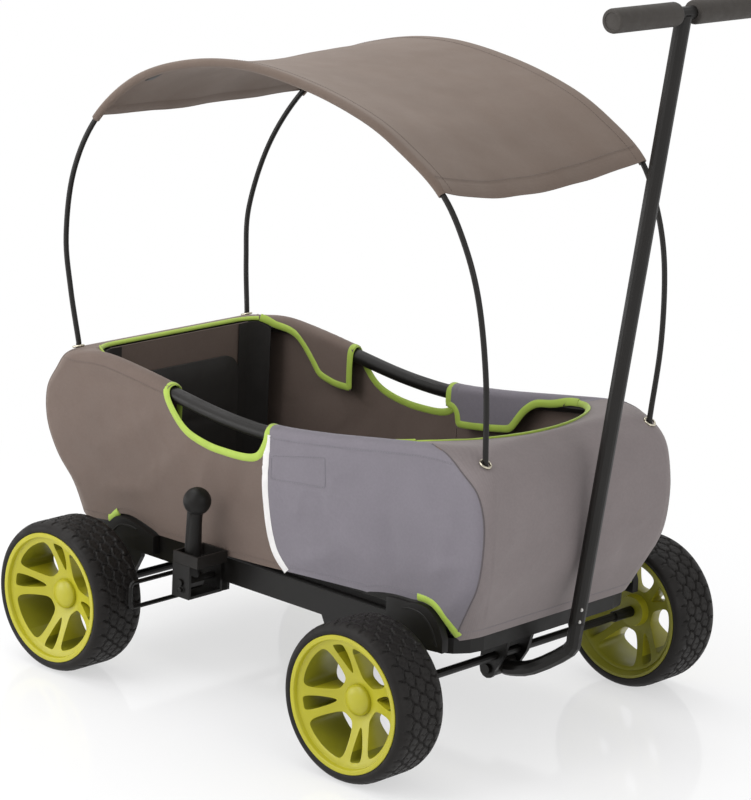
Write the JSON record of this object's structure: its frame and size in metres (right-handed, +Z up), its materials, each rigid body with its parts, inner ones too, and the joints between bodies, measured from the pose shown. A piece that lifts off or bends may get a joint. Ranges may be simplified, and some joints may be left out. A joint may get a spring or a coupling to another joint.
{
  "type": "folding wagon",
  "caption": "Folding garden wagon with a fabric tub, chunky dished wheels, a steered front axle with a tow bar, a hand brake and an arched canopy.",
  "frame": {"origin": "on the ground under the middle of the bounding box", "axes": "+X forward along the wagon towards the tow bar, +Y to the side away from the brake lever, +Z up"},
  "size_m": [0.9948, 0.68, 1.051],
  "materials": {
    "frame": "black powder coat, satin",
    "steel": "black powder coat, satin",
    "zinc": "zinc plated",
    "black_plastic": "moulded, satin",
    "grey_plastic": "moulded, satin",
    "wheel_plastic": "lime, semi-gloss moulded",
    "tyre": "matt rubber",
    "grip": "matt foam",
    "pole": "dark fibre rod",
    "taupe_cloth": "woven polyester",
    "grey_cloth": "woven polyester",
    "lining": "black lining cloth"
  },
  "bodies": {
    "chassis": {"base_frame": "frame", "front_crossmember": "frame", "rear_crossmember": "frame", "floor_board": "black_plastic", "front_housing_near": "black_plastic", "front_housing_far": "black_plastic", "rear_housing_near": "black_plastic", "rear_housing_far": "black_plastic", "rear_axle": "steel", "rear_axle_bracket_near": "steel", "rear_axle_bracket_far": "steel", "king_pin": "zinc", "thrust_disc": "black_plastic", "brake_bracket": "steel", "brake_guide": "grey_plastic", "rear_foot_plate": "steel", "front_foot_plate": "steel", "side_cloth_rear_near": "taupe_cloth", "side_cloth_rear_far": "taupe_cloth", "side_cloth_front_near": "grey_cloth", "side_cloth_front_far": "grey_cloth", "front_cloth": "grey_cloth", "rear_cloth": "taupe_cloth", "rear_pad": "lining"},
    "rear_wheel_near": {"rear_tyre_near": "tyre", "rear_rim_near": "wheel_plastic", "rear_hub_cap_near": "wheel_plastic"},
    "rear_wheel_far": {"rear_tyre_far": "tyre", "rear_rim_far": "wheel_plastic", "rear_hub_cap_far": "wheel_plastic"},
    "front_wheel_near": {"front_tyre_near": "tyre", "front_rim_near": "wheel_plastic", "front_hub_cap_near": "wheel_plastic"},
    "front_wheel_far": {"front_tyre_far": "tyre", "front_rim_far": "wheel_plastic", "front_hub_cap_far": "wheel_plastic"},
    "steering": {"steering_yoke": "steel", "front_axle": "steel"},
    "tow_bar": {"tow_bar_lower": "frame", "tow_bar_tube": "steel", "tow_cross_tube": "frame", "grip_near": "grip", "grip_far": "grip", "tow_pin": "zinc"},
    "brake_hand_lever": {"brake_shaft": "steel", "brake_lever": "black_plastic", "brake_knob": "black_plastic"},
    "brake_shoes_near": {"brake_shoe_near": "steel"},
    "brake_shoes_far": {"brake_shoe_far": "steel"},
    "rail": {"top_rail": "frame"},
    "rear_arm_rising": {"rear_rising_arm": "steel"},
    "rear_arm_falling": {"rear_falling_arm": "steel"},
    "front_arm_rising": {"front_rising_arm": "steel"},
    "front_arm_falling": {"front_falling_arm": "steel"},
    "canopy": {"canopy_bow_near": "pole", "canopy_bow_far": "pole", "canopy_sheet": "taupe_cloth"}
  },
  "joints": [
    {"name": "rear_near_wheel_spin", "type": "hinge", "parent": "chassis", "child": "rear_wheel_near", "pos_m": [-0.3244, -0.297, 0.1105], "axis": [0, 1, 0], "continuous": true},
    {"name": "rear_far_wheel_spin", "type": "hinge", "parent": "chassis", "child": "rear_wheel_far", "pos_m": [-0.3244, 0.297, 0.1105], "axis": [0, 1, 0], "continuous": true},
    {"name": "steer", "type": "hinge", "parent": "chassis", "child": "steering", "pos_m": [0.2556, 0, 0.156], "axis": [0, 0, 1], "range_deg": [-18, 18]},
    {"name": "front_near_wheel_spin", "type": "hinge", "parent": "steering", "child": "front_wheel_near", "pos_m": [0.2556, -0.297, 0.1105], "axis": [0, 1, 0], "continuous": true},
    {"name": "front_far_wheel_spin", "type": "hinge", "parent": "steering", "child": "front_wheel_far", "pos_m": [0.2556, 0.297, 0.1105], "axis": [0, 1, 0], "continuous": true},
    {"name": "tow_bar_tilt", "type": "hinge", "parent": "steering", "child": "tow_bar", "pos_m": [0.2436, 0, 0.088], "axis": [0, 1, 0], "range_deg": [0, 50]},
    {"name": "brake_lever_swing", "type": "hinge", "parent": "chassis", "child": "brake_hand_lever", "pos_m": [-0.1294, 0, 0.168], "axis": [0, 1, 0], "range_deg": [0, 20]},
    {"name": "brake_near_slide", "type": "slide", "parent": "chassis", "child": "brake_shoes_near", "axis": [-1, 0, 0], "range_m": [0, 0.0037]},
    {"name": "brake_far_slide", "type": "slide", "parent": "chassis", "child": "brake_shoes_far", "axis": [-1, 0, 0], "range_m": [0, 0.0037]},
    {"name": "tub_lowering", "type": "slide", "parent": "chassis", "child": "rail", "axis": [0, 0, -1], "range_m": [0, 0.14], "deforming": ["side_cloth_rear_near", "side_cloth_rear_far", "side_cloth_front_near", "side_cloth_front_far", "front_cloth", "rear_cloth", "rear_pad"]},
    {"name": "rear_rising_arm_swing", "type": "hinge", "parent": "chassis", "child": "rear_arm_rising", "pos_m": [-0.4256, -0.148, 0.215], "axis": [-1, 0, 0], "range_deg": [0, 31.5]},
    {"name": "rear_falling_arm_swing", "type": "hinge", "parent": "rail", "child": "rear_arm_falling", "pos_m": [-0.4223, -0.148, 0.398], "axis": [1, 0, 0], "range_deg": [0, 31.5]},
    {"name": "front_rising_arm_swing", "type": "hinge", "parent": "chassis", "child": "front_arm_rising", "pos_m": [0.3138, -0.148, 0.215], "axis": [-1, 0, 0], "range_deg": [0, 31.5]},
    {"name": "front_falling_arm_swing", "type": "hinge", "parent": "rail", "child": "front_arm_falling", "pos_m": [0.3105, -0.148, 0.398], "axis": [1, 0, 0], "range_deg": [0, 31.5]},
    {"name": "canopy_lift", "type": "slide", "parent": "rail", "child": "canopy", "axis": [0, 0, 1], "range_m": [0, 0.2]}
  ],
  "couplings": [
    {"joint": "brake_near_slide", "follows": "brake_lever_swing", "m_per_rad": 0.0105},
    {"joint": "brake_far_slide", "follows": "brake_lever_swing", "m_per_rad": 0.0105},
    {"joint": "rear_rising_arm_swing", "follows": "tub_lowering", "rad_per_m": 3.885},
    {"joint": "rear_falling_arm_swing", "follows": "tub_lowering", "rad_per_m": 3.885},
    {"joint": "front_rising_arm_swing", "follows": "tub_lowering", "rad_per_m": 3.885},
    {"joint": "front_falling_arm_swing", "follows": "tub_lowering", "rad_per_m": 3.885}
  ]
}
